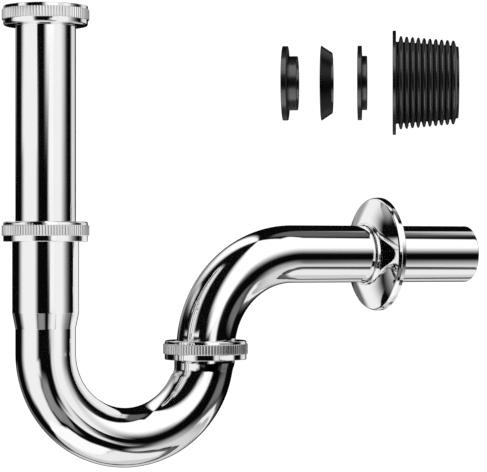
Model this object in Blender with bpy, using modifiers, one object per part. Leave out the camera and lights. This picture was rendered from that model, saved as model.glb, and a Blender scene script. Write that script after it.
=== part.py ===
"""Tubular P-trap for a wash basin: 32 mm chromed brass tubes with G 1 1/4 collar nuts.

Lengths are millimetres turned into metres by MM, and +Z is up. The trap lies in the XZ plane: the inlet
tube stands at the left, the U bend hangs under it, and the wall tube runs to the right. The origin is under
the middle of the assembly, level with the lowest point of the U bend.
"""

import math

import bmesh
import bpy
from mathutils import Vector

MM = 0.001
ROUND = 28           # facets round a tube, a nut or a thread
FINE_ROUND = 40      # facets round the rosette
MERGE = 0.00001      # merge distance, metres

# Tubes
TUBE_R = 16.0
WALL = 1.0
U_BEND_R = 46.25                         # centreline radius of the U bend
OUTLET_BEND_R = 52.4                     # centreline radius of the bend towards the wall
JOINT_X = 2 * U_BEND_R                   # axis of the lower joint, from the inlet axis
BEND_Z = U_BEND_R + TUBE_R               # height of both bends' centres
OUTLET_Z = BEND_Z + OUTLET_BEND_R        # height of the wall tube's axis
WALL_TUBE_END = 256.0                    # from the inlet axis to the end of the wall tube
BEND_STEP = 10.0                         # degrees between two sections of a bend
SOCKET_R = 17.65                         # the U bend's widened inlet end
SOCKET_BOTTOM_Z = OUTLET_Z - 30.9
TAPER_BOTTOM_Z = OUTLET_Z - 39.4
INLET_END_Z = OUTLET_Z - 22.0            # lower end of the inlet tube, inside the socket
SKIRT_R = 16.55                          # the U bend's slightly widened outlet end
SKIRT_Z = OUTLET_Z - 61.1
LIP_R = 18.9                             # turned-out lip that a nut holds
LIP_T = 1.0
STUB = 2.0                               # upright start of the outlet bend, so that its mouth is level

# Collar nuts, all the same outside. Heights inside a joint are given from the bottom of its nut.
NUT_H = 10.5
NUT_R = 22.35
KNURL_R = 23.15
KNURL_VALLEY_R = 22.65
KNURL_RIBS = 90
KNURL_LOW = 3.1
KNURL_HIGH = 8.6
FLOOR = 1.3
CLOSED_ROUNDING = 1.2
OPEN_ROUNDING = 0.35
TOP_NUT_Z = OUTLET_Z + 120.5
MIDDLE_NUT_Z = OUTLET_Z + 6.55
LOWER_NUT_Z = OUTLET_Z - 57.5
NUT_HOLE_R = 16.45
LOWER_NUT_HOLE_R = 17.0                  # wider, because the bend starts to lean inside it

# G 1 1/4 pipe thread, with the running gap between nut and ring added to the nut
PITCH = 2.309
THREAD_ROOT_R = 19.35
THREAD_CREST_R = 20.75
FLANK_SLOPE = math.tan(math.radians(29.0))
GAP = 0.3
NUT_BORE_R = THREAD_ROOT_R + GAP
GROOVE_R = THREAD_CREST_R + 1.4 * GAP    # leaves about 0.2 mm between the flanks
THREAD_RELIEF = 0.7                      # chamfer at each end of a thread
TOP_THREAD_TURNS = 1.9                   # turns of groove in each nut, from its open end
MIDDLE_THREAD_TURNS = 2.95
LOWER_THREAD_TURNS = 2.3
GROOVE_RUN_IN = 0.6                      # turns of the groove's cutter outside the nut
PAST = 1.0                               # how far a cutter reaches past what it cuts

# Slip rings, seals and thread rings, heights from the bottom of their nut
RING_R = 19.2
RING_T = 0.7
RING_BORE_R = 16.4
LOWER_RING_BORE_R = 16.6
RING_BELOW_FLOOR = NUT_H - FLOOR - GAP   # top of a slip ring under a nut's floor
CONE_TOP = 7.9
CONE_BOTTOM = 1.9
CONE_BORE_R = 16.25
CONE_BIG_R = 19.1
CONE_SMALL_R = 16.85
SEAL_R = 19.2
SEAL_COLLAR_R = 14.35
SOCKET_MOUTH = 1.6                       # top of the socket inside the middle nut
THREAD_RING_LOW = 0.3
SOCKET_RING_HIGH = 5.7
OUTLET_RING_HIGH = 4.1                   # top of the thread ring and of the U bend's outlet end

# Wall rosette: stations along the wall tube, from the end of its neck towards the wall
ROSETTE_X = 200.0                        # of its back rim, from the inlet axis
ROSETTE_DEPTH = 10.4
ROSETTE_BORE_R = 16.4
ROSETTE_NECK_R = 17.5
ROSETTE_NECK_BEVEL = 0.4
ROSETTE_FOOT = 2.0                       # where the neck meets the dish
ROSETTE_CREASE = 5.4                     # where the dish meets the rolled rim
ROSETTE_CREASE_R = 29.3
DISH_CURVE = 1.4
DISH_STEPS = 4
ROSETTE_RIM_R = 31.9
ROSETTE_ROLL = 2.6                       # size of the roll between crease and rim
ROSETTE_SHEET = 0.9
ROSETTE_RIM_T = 1.3

# Wall adapter: ribbed rubber sleeve, stations from its flange towards the drain pipe
ADAPTER_X = 288.0
ADAPTER_LENGTH = 34.7
ADAPTER_FLANGE_R = 27.5
ADAPTER_FLANGE_T = 1.85
ADAPTER_RIBS = 10
RIB_PITCH = 3.06
FIRST_RIB = 4.4
RIB_TIP_R = (24.6, 22.1)                 # at the first and at the last rib
RIB_ROOT_R = (21.6, 19.5)
ADAPTER_END_R = 18.95
ADAPTER_BORE_R = 17.4
ADAPTER_LIP_R = 16.35
ADAPTER_LIP_T = 2.2

# The row's origin is under the middle of everything
MIDDLE_X = (ADAPTER_X + ADAPTER_LENGTH - KNURL_R) / 2


def clear_scene():
    for obj in list(bpy.data.objects):
        bpy.data.objects.remove(obj, do_unlink=True)


def new_collection(name):
    collection = bpy.data.collections.new(name)
    bpy.context.scene.collection.children.link(collection)
    return collection


def principled(name, colour, roughness, metallic):
    material = bpy.data.materials.new(name)
    material.use_nodes = True
    shader = material.node_tree.nodes["Principled BSDF"]
    shader.inputs["Base Color"].default_value = (*colour, 1.0)
    shader.inputs["Roughness"].default_value = roughness
    shader.inputs["Metallic"].default_value = metallic
    return material


def empty(name, parent, location, rotation=(0, 0, 0)):
    axis = bpy.data.objects.new(name, None)
    PARTS.objects.link(axis)
    axis.parent = parent
    axis.location = Vector(location) * MM
    axis.rotation_euler = rotation
    return axis


def part(name, mesh, material, parent, z=0.0):
    """A node of the trap: its origin is on its parent's axis, z above it."""
    obj = bpy.data.objects.new(name, mesh)
    PARTS.objects.link(obj)
    obj.parent = parent
    obj.location.z = z * MM
    mesh.materials.append(material)
    return obj


def tool(name, mesh, owner):
    """A shape that only cuts or joins its owner, kept out of the model."""
    obj = bpy.data.objects.new(name, mesh)
    CUTTERS.objects.link(obj)
    obj.parent = owner
    obj.hide_render = True
    obj.display_type = "WIRE"
    return obj


def boolean(obj, operand, operation):
    modifier = obj.modifiers.new(operation.title(), "BOOLEAN")
    modifier.operation = operation
    modifier.object = operand
    modifier.solver = "EXACT"


def profile_mesh(name, points, closed):
    """Edges through (radius, height) points, running down the outer side."""
    ring = points + points[:1] if closed else points
    doubled_area = sum(a[0] * b[1] - b[0] * a[1] for a, b in zip(ring, ring[1:]))
    if doubled_area > 0:
        points = points[::-1]
    bm = bmesh.new()
    verts = [bm.verts.new((r * MM, 0.0, z * MM)) for r, z in points]
    for a, b in zip(verts, verts[1:]):
        bm.edges.new((a, b))
    if closed:
        bm.edges.new((verts[-1], verts[0]))
    mesh = bpy.data.meshes.new(name)
    bm.to_mesh(mesh)
    bm.free()
    return mesh


def turn(obj, steps=ROUND):
    screw = obj.modifiers.new("Turn", "SCREW")
    screw.angle = math.tau
    screw.steps = steps
    screw.render_steps = steps
    screw.use_merge_vertices = True
    screw.merge_threshold = MERGE
    screw.use_smooth_shade = True


def turned_part(name, points, material, parent, z=0.0, steps=ROUND):
    """A ring or a tube turned from a closed outline of (radius, height) points."""
    obj = part(name, profile_mesh(name, points, closed=True), material, parent, z)
    turn(obj, steps)
    return obj


def turned_tool(name, points, owner, closed=False):
    """A turned cutter; an open outline starts and ends on the axis."""
    obj = tool(name, profile_mesh(name, points, closed), owner)
    turn(obj)
    return obj


def arc(centre, radius, start, end, steps):
    """Points (radius, height) on an arc, angles in degrees."""
    angles = [math.radians(start + (end - start) * i / steps) for i in range(steps + 1)]
    return [(centre[0] + radius * math.cos(a), centre[1] + radius * math.sin(a)) for a in angles]


def helix_tool(name, section, first_turn, last_turn, owner):
    """A thread's ridge: a closed (radius, height) section swept up a right-hand helix.

    The section's own height zero passes the owner's height zero at turn 0, on the +X side.
    """
    bm = bmesh.new()
    start = math.tau * first_turn
    lift = first_turn * PITCH
    verts = [
        bm.verts.new((r * math.cos(start) * MM, r * math.sin(start) * MM, (z + lift) * MM))
        for r, z in section
    ]
    face = bm.faces.new(verts)
    turns = last_turn - first_turn
    steps = round(turns * ROUND)
    bmesh.ops.spin(
        bm,
        geom=[face, *face.edges, *face.verts],
        cent=(0, 0, 0),
        axis=(0, 0, 1),
        dvec=(0, 0, turns * PITCH * MM / steps),
        angle=math.tau * turns,
        steps=steps,
        use_duplicate=False,
    )
    bmesh.ops.recalc_face_normals(bm, faces=bm.faces)
    mesh = bpy.data.meshes.new(name)
    bm.to_mesh(mesh)
    bm.free()
    return tool(name, mesh, owner)


def thread_section(inner, crest):
    """A V whose tip is at the crest radius and whose foot is at the inner radius."""
    half = (crest - inner) * FLANK_SLOPE
    return [(inner, -half), (crest, 0.0), (inner, half)]


def knurl_mesh(name):
    """A flat-sided star disc: one peak and one valley for each rib."""
    bm = bmesh.new()
    points = 2 * KNURL_RIBS
    circle = bmesh.ops.create_circle(bm, cap_ends=True, segments=points, radius=KNURL_R * MM)
    valley = KNURL_VALLEY_R / KNURL_R
    for vert in circle["verts"]:
        spoke = round(math.atan2(vert.co.y, vert.co.x) / math.tau * points)
        if spoke % 2:
            vert.co *= valley
        vert.co.z = KNURL_LOW * MM
    raised = bmesh.ops.extrude_face_region(bm, geom=bm.faces[:])
    lift = Vector((0, 0, (KNURL_HIGH - KNURL_LOW) * MM))
    bmesh.ops.translate(bm, vec=lift, verts=[v for v in raised["geom"] if isinstance(v, bmesh.types.BMVert)])
    bmesh.ops.recalc_face_normals(bm, faces=bm.faces)
    mesh = bpy.data.meshes.new(name)
    bm.to_mesh(mesh)
    bm.free()
    return mesh


def nut_outline(opens_up):
    """Outside of a nut from the axis over the top and down: the closed end has the rounder corner."""
    top = OPEN_ROUNDING if opens_up else CLOSED_ROUNDING
    bottom = CLOSED_ROUNDING if opens_up else OPEN_ROUNDING
    return [
        (0.0, NUT_H),
        *arc((NUT_R - top, NUT_H - top), top, 90, 0, 2),
        *arc((NUT_R - bottom, bottom), bottom, 0, -90, 2),
        (0.0, 0.0),
    ]


def bore_outline(opens_up, hole_r):
    """The space inside a nut: threaded bore, floor and the hole in the floor."""
    outline = [
        (0.0, -PAST),
        (NUT_BORE_R + THREAD_RELIEF + PAST, -PAST),
        (NUT_BORE_R, THREAD_RELIEF),
        (NUT_BORE_R, NUT_H - FLOOR),
        (hole_r, NUT_H - FLOOR),
        (hole_r, NUT_H + PAST),
        (0.0, NUT_H + PAST),
    ]
    return [(r, NUT_H - z) for r, z in outline] if opens_up else outline


def collar_nut(name, z, hole_r, opens_up, thread_turns, parent):
    blank = profile_mesh(name, nut_outline(opens_up), closed=False)
    nut = part(name, blank, CHROME, parent, z)
    turn(nut)
    boolean(nut, tool(name + "_knurl", knurl_mesh(name + "_knurl"), nut), "UNION")
    bore = turned_tool(name + "_bore", bore_outline(opens_up, hole_r), nut)
    boolean(nut, bore, "DIFFERENCE")
    groove = thread_section(NUT_BORE_R - GAP, GROOVE_R)
    if opens_up:
        first, last = NUT_H / PITCH - thread_turns, NUT_H / PITCH + GROOVE_RUN_IN
    else:
        first, last = -GROOVE_RUN_IN, thread_turns
    boolean(nut, helix_tool(name + "_groove", groove, first, last, nut), "DIFFERENCE")


def thread_ring(name, nut_z, low, high, bore, parent):
    """A threaded bush brazed on a tube: root cylinder, ridge, chamfered ends, then its bore."""
    root = [(0.0, high + PAST), (THREAD_ROOT_R, high + PAST), (THREAD_ROOT_R, low - PAST), (0.0, low - PAST)]
    ring = part(name, profile_mesh(name, root, closed=False), CHROME, parent, nut_z)
    turn(ring)
    section = thread_section(THREAD_ROOT_R - GAP, THREAD_CREST_R)
    ridge = helix_tool(name + "_ridge", section, (low - PAST) / PITCH, (high + PAST) / PITCH, ring)
    boolean(ring, ridge, "UNION")
    crest = THREAD_CREST_R + GAP
    shoulder = crest - THREAD_RELIEF - GAP
    ends = [
        (0.0, high),
        (shoulder, high),
        (crest, high - THREAD_RELIEF - GAP),
        (crest, low + THREAD_RELIEF + GAP),
        (shoulder, low),
        (0.0, low),
    ]
    boolean(ring, turned_tool(name + "_ends", ends, ring), "INTERSECT")
    boolean(ring, turned_tool(name + "_bore", bore, ring), "DIFFERENCE")


def bent_tube(name, path, parent):
    """A tube along (x, z, outer radius) points, as a bevelled curve with the wall inside."""
    curve = bpy.data.curves.new(name, "CURVE")
    curve.dimensions = "3D"
    curve.bevel_depth = TUBE_R * MM
    curve.bevel_resolution = ROUND // 2 - 2
    curve.use_fill_caps = False
    spline = curve.splines.new("POLY")
    spline.points.add(len(path) - 1)
    for point, (x, z, r) in zip(spline.points, path):
        point.co = (x * MM, 0.0, z * MM, 1.0)
        point.radius = r / TUBE_R
    drawn = bpy.data.objects.new(name + "_curve", curve)
    PARTS.objects.link(drawn)
    depsgraph = bpy.context.evaluated_depsgraph_get()
    mesh = bpy.data.meshes.new_from_object(drawn.evaluated_get(depsgraph))
    bpy.data.objects.remove(drawn)
    mesh.name = name
    mesh.materials.clear()
    tube = part(name, mesh, CHROME, parent)
    wall = tube.modifiers.new("Wall", "SOLIDIFY")
    wall.thickness = WALL * MM
    wall.offset = -1.0
    wall.use_even_offset = True
    return tube


def bend_points(centre, radius, angles):
    """Points (x, z) on a bend, angles in degrees from the +X side of its centre."""
    return [
        (centre[0] + radius * math.cos(math.radians(a)), centre[1] + radius * math.sin(math.radians(a)))
        for a in angles
    ]


def degrees_between(start, end):
    """Bend angles every BEND_STEP, without the end itself."""
    steps = round(abs(end - start) / BEND_STEP)
    return [start + (end - start) * i / steps for i in range(steps)]


def make_inlet(axis):
    lip_top = TOP_NUT_Z + FLOOR + 2 * GAP + RING_T + LIP_T
    throat = 1.4
    turned_part(
        "inlet_tube",
        [
            (TUBE_R - WALL, INLET_END_Z),
            (TUBE_R - WALL, lip_top - throat),
            (TUBE_R - WALL + throat, lip_top),
            (LIP_R, lip_top),
            (LIP_R, lip_top - LIP_T),
            (TUBE_R, lip_top - LIP_T),
            (TUBE_R, INLET_END_Z),
        ],
        CHROME,
        axis,
    )
    slip_ring("top_slip_ring", RING_BORE_R, TOP_NUT_Z + FLOOR + GAP, axis)
    collar_nut("top_nut", TOP_NUT_Z, NUT_HOLE_R, True, TOP_THREAD_TURNS, axis)
    seat = lip_top + GAP - TOP_NUT_Z
    flange_t, depth, step = 2.5, 8.0, 1.4
    bore = 12.6
    turned_part(
        "top_seal",
        [
            (bore, seat + flange_t),
            (SEAL_R, seat + flange_t),
            (SEAL_R, seat),
            (TUBE_R + GAP, seat),
            (TUBE_R + GAP - step, seat - step),
            (SEAL_COLLAR_R, seat - step),
            (SEAL_COLLAR_R, seat + flange_t - depth),
            (bore, seat + flange_t - depth),
        ],
        RUBBER,
        axis,
        TOP_NUT_Z,
    )


def slip_ring(name, bore_r, z, axis):
    turned_part(name, [(bore_r, RING_T), (RING_R, RING_T), (RING_R, 0.0), (bore_r, 0.0)], PLASTIC, axis, z)


def make_middle_joint(axis):
    collar_nut("middle_nut", MIDDLE_NUT_Z, NUT_HOLE_R, False, MIDDLE_THREAD_TURNS, axis)
    slip_ring("middle_slip_ring", RING_BORE_R, MIDDLE_NUT_Z + RING_BELOW_FLOOR - RING_T, axis)
    turned_part(
        "cone_seal",
        [
            (CONE_BORE_R, CONE_TOP),
            (CONE_BIG_R, CONE_TOP),
            (CONE_SMALL_R, CONE_BOTTOM),
            (CONE_BORE_R, CONE_BOTTOM),
        ],
        RUBBER,
        axis,
        MIDDLE_NUT_Z,
    )
    slope = (CONE_BIG_R - CONE_SMALL_R) / (CONE_TOP - CONE_BOTTOM)
    seat_r = CONE_SMALL_R + GAP
    bore = [
        (0.0, THREAD_RING_LOW - PAST),
        (SOCKET_R + GAP, THREAD_RING_LOW - PAST),
        (SOCKET_R + GAP, SOCKET_MOUTH + GAP),
        (seat_r, SOCKET_MOUTH + GAP),
        (seat_r + slope * (SOCKET_RING_HIGH + PAST - CONE_BOTTOM), SOCKET_RING_HIGH + PAST),
        (0.0, SOCKET_RING_HIGH + PAST),
    ]
    thread_ring("socket_thread_ring", MIDDLE_NUT_Z, THREAD_RING_LOW, SOCKET_RING_HIGH, bore, axis)


def make_u_bend(axis):
    mouth = MIDDLE_NUT_Z + SOCKET_MOUTH
    outlet = LOWER_NUT_Z + OUTLET_RING_HIGH
    skirt = 360 - math.degrees(math.asin((BEND_Z - SKIRT_Z) / U_BEND_R))
    widening = 1.5
    centre = (U_BEND_R, BEND_Z)
    path = [
        (0.0, mouth, SOCKET_R),
        (0.0, SOCKET_BOTTOM_Z, SOCKET_R),
        (0.0, TAPER_BOTTOM_Z, TUBE_R),
    ]
    path += [(x, z, TUBE_R) for x, z in bend_points(centre, U_BEND_R, degrees_between(180, skirt))]
    path += [(x, z, TUBE_R) for x, z in bend_points(centre, U_BEND_R, [skirt])]
    path += [(x, z, SKIRT_R) for x, z in bend_points(centre, U_BEND_R, [skirt + widening])]
    path += [(JOINT_X, LOWER_NUT_Z, SKIRT_R), (JOINT_X, outlet, SKIRT_R)]
    bent_tube("u_bend", path, axis)


def make_lower_joint(axis):
    collar_nut("lower_nut", LOWER_NUT_Z, LOWER_NUT_HOLE_R, False, LOWER_THREAD_TURNS, axis)
    slip_ring("lower_slip_ring", LOWER_RING_BORE_R, LOWER_NUT_Z + RING_BELOW_FLOOR - RING_T, axis)
    seat = OUTLET_RING_HIGH + GAP
    flange_t, depth = 2.2, 5.0
    bore = 12.9
    turned_part(
        "lower_seal",
        [
            (bore, seat + flange_t),
            (SEAL_R, seat + flange_t),
            (SEAL_R, seat),
            (SEAL_COLLAR_R, seat),
            (SEAL_COLLAR_R, seat + flange_t - depth),
            (bore, seat + flange_t - depth),
        ],
        RUBBER,
        axis,
        LOWER_NUT_Z,
    )
    ring_bore_r = SKIRT_R + GAP
    bore_cut = [
        (0.0, OUTLET_RING_HIGH + PAST),
        (ring_bore_r, OUTLET_RING_HIGH + PAST),
        (ring_bore_r, -PAST),
        (0.0, -PAST),
    ]
    thread_ring("outlet_thread_ring", LOWER_NUT_Z, THREAD_RING_LOW, OUTLET_RING_HIGH, bore_cut, axis)


def make_outlet_bend(axis):
    lip_z = LOWER_NUT_Z + RING_BELOW_FLOOR - RING_T - GAP - LIP_T
    tuck = 0.2
    centre = (OUTLET_BEND_R, BEND_Z)
    angles = degrees_between(180, 90)[1:] + [90]
    path = [(0.0, lip_z + tuck, TUBE_R), (0.0, lip_z + STUB, TUBE_R)]
    path += [(x, z, TUBE_R) for x, z in bend_points(centre, OUTLET_BEND_R, angles)]
    path += [(WALL_TUBE_END - JOINT_X, OUTLET_Z, TUBE_R)]
    tube = bent_tube("outlet_bend", path, axis)
    inside = TUBE_R - WALL / 2
    lip = [(inside, lip_z + LIP_T), (LIP_R, lip_z + LIP_T), (LIP_R, lip_z), (inside, lip_z)]
    boolean(tube, turned_tool("outlet_bend_lip", lip, tube, closed=True), "UNION")


def dish_point(share):
    """(radius, station) on the rosette's dish, from its foot at share 0 to the crease at share 1."""
    r = ROSETTE_NECK_R + (ROSETTE_CREASE_R - ROSETTE_NECK_R) * share
    return r, ROSETTE_FOOT + (ROSETTE_CREASE - ROSETTE_FOOT) * share ** DISH_CURVE


def make_rosette(axis):
    """A shallow bell: neck towards the room, hollow dish and a rolled rim, then back inside the sheet."""
    bevel, roll = ROSETTE_NECK_BEVEL, ROSETTE_ROLL
    dish = [dish_point(index / DISH_STEPS) for index in range(DISH_STEPS + 1)]
    roll_z = ROSETTE_CREASE + 0.8 * roll
    outer = [
        (ROSETTE_BORE_R, bevel),
        (ROSETTE_BORE_R + bevel, 0.0),
        (ROSETTE_NECK_R - bevel, 0.0),
        (ROSETTE_NECK_R, bevel),
        *dish,
        (ROSETTE_RIM_R - 0.3 * roll, ROSETTE_CREASE + 0.3 * roll),
        (ROSETTE_RIM_R, roll_z),
        (ROSETTE_RIM_R, ROSETTE_DEPTH),
    ]
    inner_rim_r = ROSETTE_RIM_R - ROSETTE_RIM_T
    inner = [
        (inner_rim_r, ROSETTE_DEPTH),
        (inner_rim_r, roll_z + 0.2),
        *[(r - ROSETTE_SHEET / 4, z + ROSETTE_SHEET) for r, z in dish[:0:-1]],
        (ROSETTE_BORE_R, ROSETTE_FOOT + ROSETTE_SHEET),
    ]
    stations = [(r, z - ROSETTE_DEPTH) for r, z in outer + inner]
    turned_part("wall_rosette", stations, CHROME, axis, ROSETTE_X, FINE_ROUND)


def rib_value(ends, index):
    return ends[0] + (ends[1] - ends[0]) * index / (ADAPTER_RIBS - 1)


def make_adapter(axis):
    """Flange at the room side, a cone of ribs that grips the drain pipe, and a lip that grips the tube."""
    outer = [(ADAPTER_FLANGE_R, 0.0), (ADAPTER_FLANGE_R, ADAPTER_FLANGE_T)]
    outer.append((RIB_ROOT_R[0] + 0.1, ADAPTER_FLANGE_T))
    for index in range(ADAPTER_RIBS):
        station = FIRST_RIB + index * RIB_PITCH
        root = rib_value(RIB_ROOT_R, index)
        tip = rib_value(RIB_TIP_R, index)
        outer.append((root, station - RIB_PITCH / 2))
        outer.append((tip, station))
    outer.append((ADAPTER_END_R, FIRST_RIB + (ADAPTER_RIBS - 0.5) * RIB_PITCH))
    outer.append((ADAPTER_END_R, ADAPTER_LENGTH))
    inner = [
        (ADAPTER_BORE_R, ADAPTER_LENGTH),
        (ADAPTER_BORE_R, ADAPTER_LIP_T + 1.0),
        (ADAPTER_LIP_R, ADAPTER_LIP_T),
        (ADAPTER_LIP_R, 0.0),
    ]
    turned_part("wall_adapter", outer + inner, RUBBER, axis, ADAPTER_X)


clear_scene()
PARTS = new_collection("p_trap")
CUTTERS = new_collection("cutters")
CHROME = principled("chrome", (0.80, 0.80, 0.82), 0.05, 1.0)
RUBBER = principled("black_rubber", (0.018, 0.018, 0.02), 0.45, 0.0)
PLASTIC = principled("natural_plastic", (0.82, 0.81, 0.76), 0.4, 0.0)

inlet_axis = empty("inlet_axis", None, (-MIDDLE_X, 0, 0))
joint_axis = empty("lower_joint_axis", inlet_axis, (JOINT_X, 0, 0))
wall_axis = empty("wall_tube_axis", inlet_axis, (0, 0, OUTLET_Z), (0, math.radians(90), 0))

make_inlet(inlet_axis)
make_middle_joint(inlet_axis)
make_u_bend(inlet_axis)
make_lower_joint(joint_axis)
make_outlet_bend(joint_axis)
make_rosette(wall_axis)
make_adapter(wall_axis)
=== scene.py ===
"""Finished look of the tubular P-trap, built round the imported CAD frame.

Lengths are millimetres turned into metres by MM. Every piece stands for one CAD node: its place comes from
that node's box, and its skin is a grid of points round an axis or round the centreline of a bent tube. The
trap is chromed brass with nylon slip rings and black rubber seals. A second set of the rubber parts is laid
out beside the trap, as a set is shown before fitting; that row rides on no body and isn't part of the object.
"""

import math

import bpy
import numpy as np
from mathutils import Matrix, Vector


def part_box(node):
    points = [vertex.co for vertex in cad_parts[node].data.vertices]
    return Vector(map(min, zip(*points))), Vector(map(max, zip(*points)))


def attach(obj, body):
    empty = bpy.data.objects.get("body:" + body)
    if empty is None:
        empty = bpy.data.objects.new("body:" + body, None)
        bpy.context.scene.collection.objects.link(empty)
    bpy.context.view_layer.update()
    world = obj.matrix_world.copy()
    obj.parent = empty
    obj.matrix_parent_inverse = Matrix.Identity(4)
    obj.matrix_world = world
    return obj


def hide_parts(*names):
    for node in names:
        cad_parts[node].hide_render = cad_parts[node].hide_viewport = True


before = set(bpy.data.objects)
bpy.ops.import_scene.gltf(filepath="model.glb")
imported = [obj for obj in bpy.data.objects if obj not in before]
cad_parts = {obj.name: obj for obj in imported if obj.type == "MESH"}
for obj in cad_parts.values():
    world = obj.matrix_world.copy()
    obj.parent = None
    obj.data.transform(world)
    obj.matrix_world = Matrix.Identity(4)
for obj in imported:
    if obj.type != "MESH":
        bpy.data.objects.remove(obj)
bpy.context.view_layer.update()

MM = 0.001

# Tubes
TUBE_R = 16.0
WALL = 1.0
LIP_T = 1.0
STUB = 2.0                   # upright start of the outlet bend
THROAT = 1.4                 # flare of the inlet tube's mouth
U_BEND_R = 46.25
OUTLET_BEND_R = 52.4
SOCKET_R = 17.65
SOCKET_DEPTH = 39.05         # straight part of the socket, from its mouth
TAPER = 8.5
SKIRT_R = 16.55
SKIRT_LENGTH = 7.7           # from the U bend's outlet end to where it narrows to the tube
SKIRT_STEP = (-2.2, 1.6)     # where that narrowing starts and ends, along the line
TUBE_SEGMENTS = 160
BEND_STEP = 1.0              # between two rings of points on a bend
LEVEL_RUN = 14.0             # length over which rings of points swing level before an upright end

# Collar nuts and their G 1 1/4 thread
NUT_R = 22.35
KNURL_R = 23.15
KNURL_DEPTH = 0.5
KNURL_RIBS = 90
KNURL_LOW = 3.1
KNURL_HIGH = 8.6
KNURL_SHARPNESS = 0.45       # power that turns a sine into narrow grooves between flat ribs
NUT_EDGES = (0.35, 1.2)      # rounding of the rim at its open end, and at its closed end
NUT_FLOOR = 1.3
PITCH = 2.309
THREAD_RELIEF = 0.7
RUN_OUT = 0.2                # the nut's thread stops this far inside its mouth's edge
HAIR = 0.01                  # slack when radii are compared
NUT_BORE_R = 19.65
GROOVE_R = 21.17
NUT_MOUTH_R = 21.0
NUT_HOLES = {"top_nut": 16.45, "middle_nut": 16.45, "lower_nut": 17.0}
THREAD_ROOT_R = 19.35
THREAD_CREST_R = 20.75
FLANK_SLOPE = math.tan(math.radians(29.0))
THREAD_STEP = 0.15
NUT_SEGMENTS = 6 * KNURL_RIBS
SEAL_SEGMENTS = 192

# Slip rings and threaded bushes
RING_BORES = {"top_slip_ring": 16.4, "middle_slip_ring": 16.4, "lower_slip_ring": 16.6}
RING_EDGE = 0.15
SOCKET_BUSH_BORE_R = 17.95
SEAT_R = 17.15               # small end of the cone seal's seat, which widens upwards
SEAT_Z = 1.6
SEAT_SLOPE = 0.375
OUTLET_BUSH_BORE_R = 16.85

# Seals. "Free" sizes are those of the loose set, before fitting.
SEAL_COLLAR_R = 14.35
SEAL_SHOULDER_R = 16.3
SEAT_CHAMFER = 1.4
TOP_SEAL_BORE = 12.6
TOP_FLANGE_T = 2.5
LOWER_SEAL_BORE = 12.9
LOWER_FLANGE_T = 2.2
CONE_SMALL_R = 16.85
CONE_BORE_R = 16.25
FREE_FLANGE_R = 19.7
FREE_TOP_FLANGE_T = 2.9
FREE_CONE_BIG_R = 20.0
FREE_CONE_SMALL_R = 16.0
FREE_CONE_BORE_R = 15.4

# Rosette. Stations run from the neck's end towards the wall.
ROSETTE_BORE_R = 16.4
ROSETTE_NECK_R = 17.5
ROSETTE_FOOT = 2.0           # station where the neck meets the dish
ROSETTE_CREASE = 5.4         # station where the dish meets the rolled rim
ROSETTE_CREASE_R = 29.3
ROSETTE_ROLL = 2.6
ROSETTE_SHEET = 0.9
DISH_CURVE = 1.4
DISH_STEPS = 24

# Wall adapter. Stations run from its flange towards the wall.
ADAPTER_FLANGE_T = 1.85
ADAPTER_RIBS = 10
RIB_PITCH = 3.06
FIRST_RIB = 4.4
RIB_TIP_R = (24.6, 22.1)     # at the first and the last rib
RIB_ROOT_R = (21.6, 19.5)
RIB_TIP_HALF = 0.45
RIB_FLANK_HALF = 0.95        # half of a rib's thickness at FLANK_SHARE of its height
FLANK_SHARE = 0.55
ROOT_HALF = 0.3              # half of the flat between two ribs
ADAPTER_END_R = 18.95
ADAPTER_BORE_R = 17.4
ADAPTER_LIP_R = 16.35
ADAPTER_LIP = (2.2, 3.2)     # stations between which the lip widens into the bore

# Camera, placed from the inlet axis at the wall tube's height
VIEW_TURN = math.radians(24.9)
VIEW_DISTANCE = 1203.0
VIEW_OFFSET = 104.6
LENS = 168.2
RISE_SHIFT = 0.037           # of the lens, as a share of the picture's width

# Loose row, from the anchor that view_directions gives
ROW_REACH = 183.4
ROW_RISE = 90.5
ROW_TURN = math.radians(28.6)
ROW_BACK = {"top_seal": 58.1, "cone_seal": 37.7, "lower_seal": 18.4, "wall_adapter": 0.0}
ROW_LEAN = {"top_seal": -1.0, "cone_seal": -0.9, "lower_seal": -0.2, "wall_adapter": 0.0}

# Lamps of the loose row
LAMP_RISE = math.radians(52)
LAMP_DISTANCE = 0.8
LAMP_SIZE = (0.7, 0.8)
LAMP_POWER = 13.0

# Floor
FLOOR_GREY = 0.9
FLOOR_DROP = 0.0225          # just clear of the trap when it hangs 20 mm lower on the inlet tube
FLOOR_HALF = 6.0
FLOOR_FADE = (0.12, 0.30)    # distances from the origin between which the floor turns into a plain white glow
FLOOR_GLOW = 0.6             # share of glow near the trap, which keeps the contact shadow faint

# Studio
WHITE = 1.12                 # the backdrop, and the light that all but mirror rays see
GAMMA = 2.2                  # from a brightness on the display to an amount of light
GAIN = 1.1                   # on the light of every softbox and card
UNLIT = 0.002                # what mirror rays see between them
WAVE_SHIFT = 24.0            # waves that blur the lower softboxes: their size in bearing and in rise, degrees
WAVE_LIFT = 12.0
WAVE_SCALE = 4.0
WAVE_START = (-10.0, -30.0)  # rise at which the waves begin, and at which they are full

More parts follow.
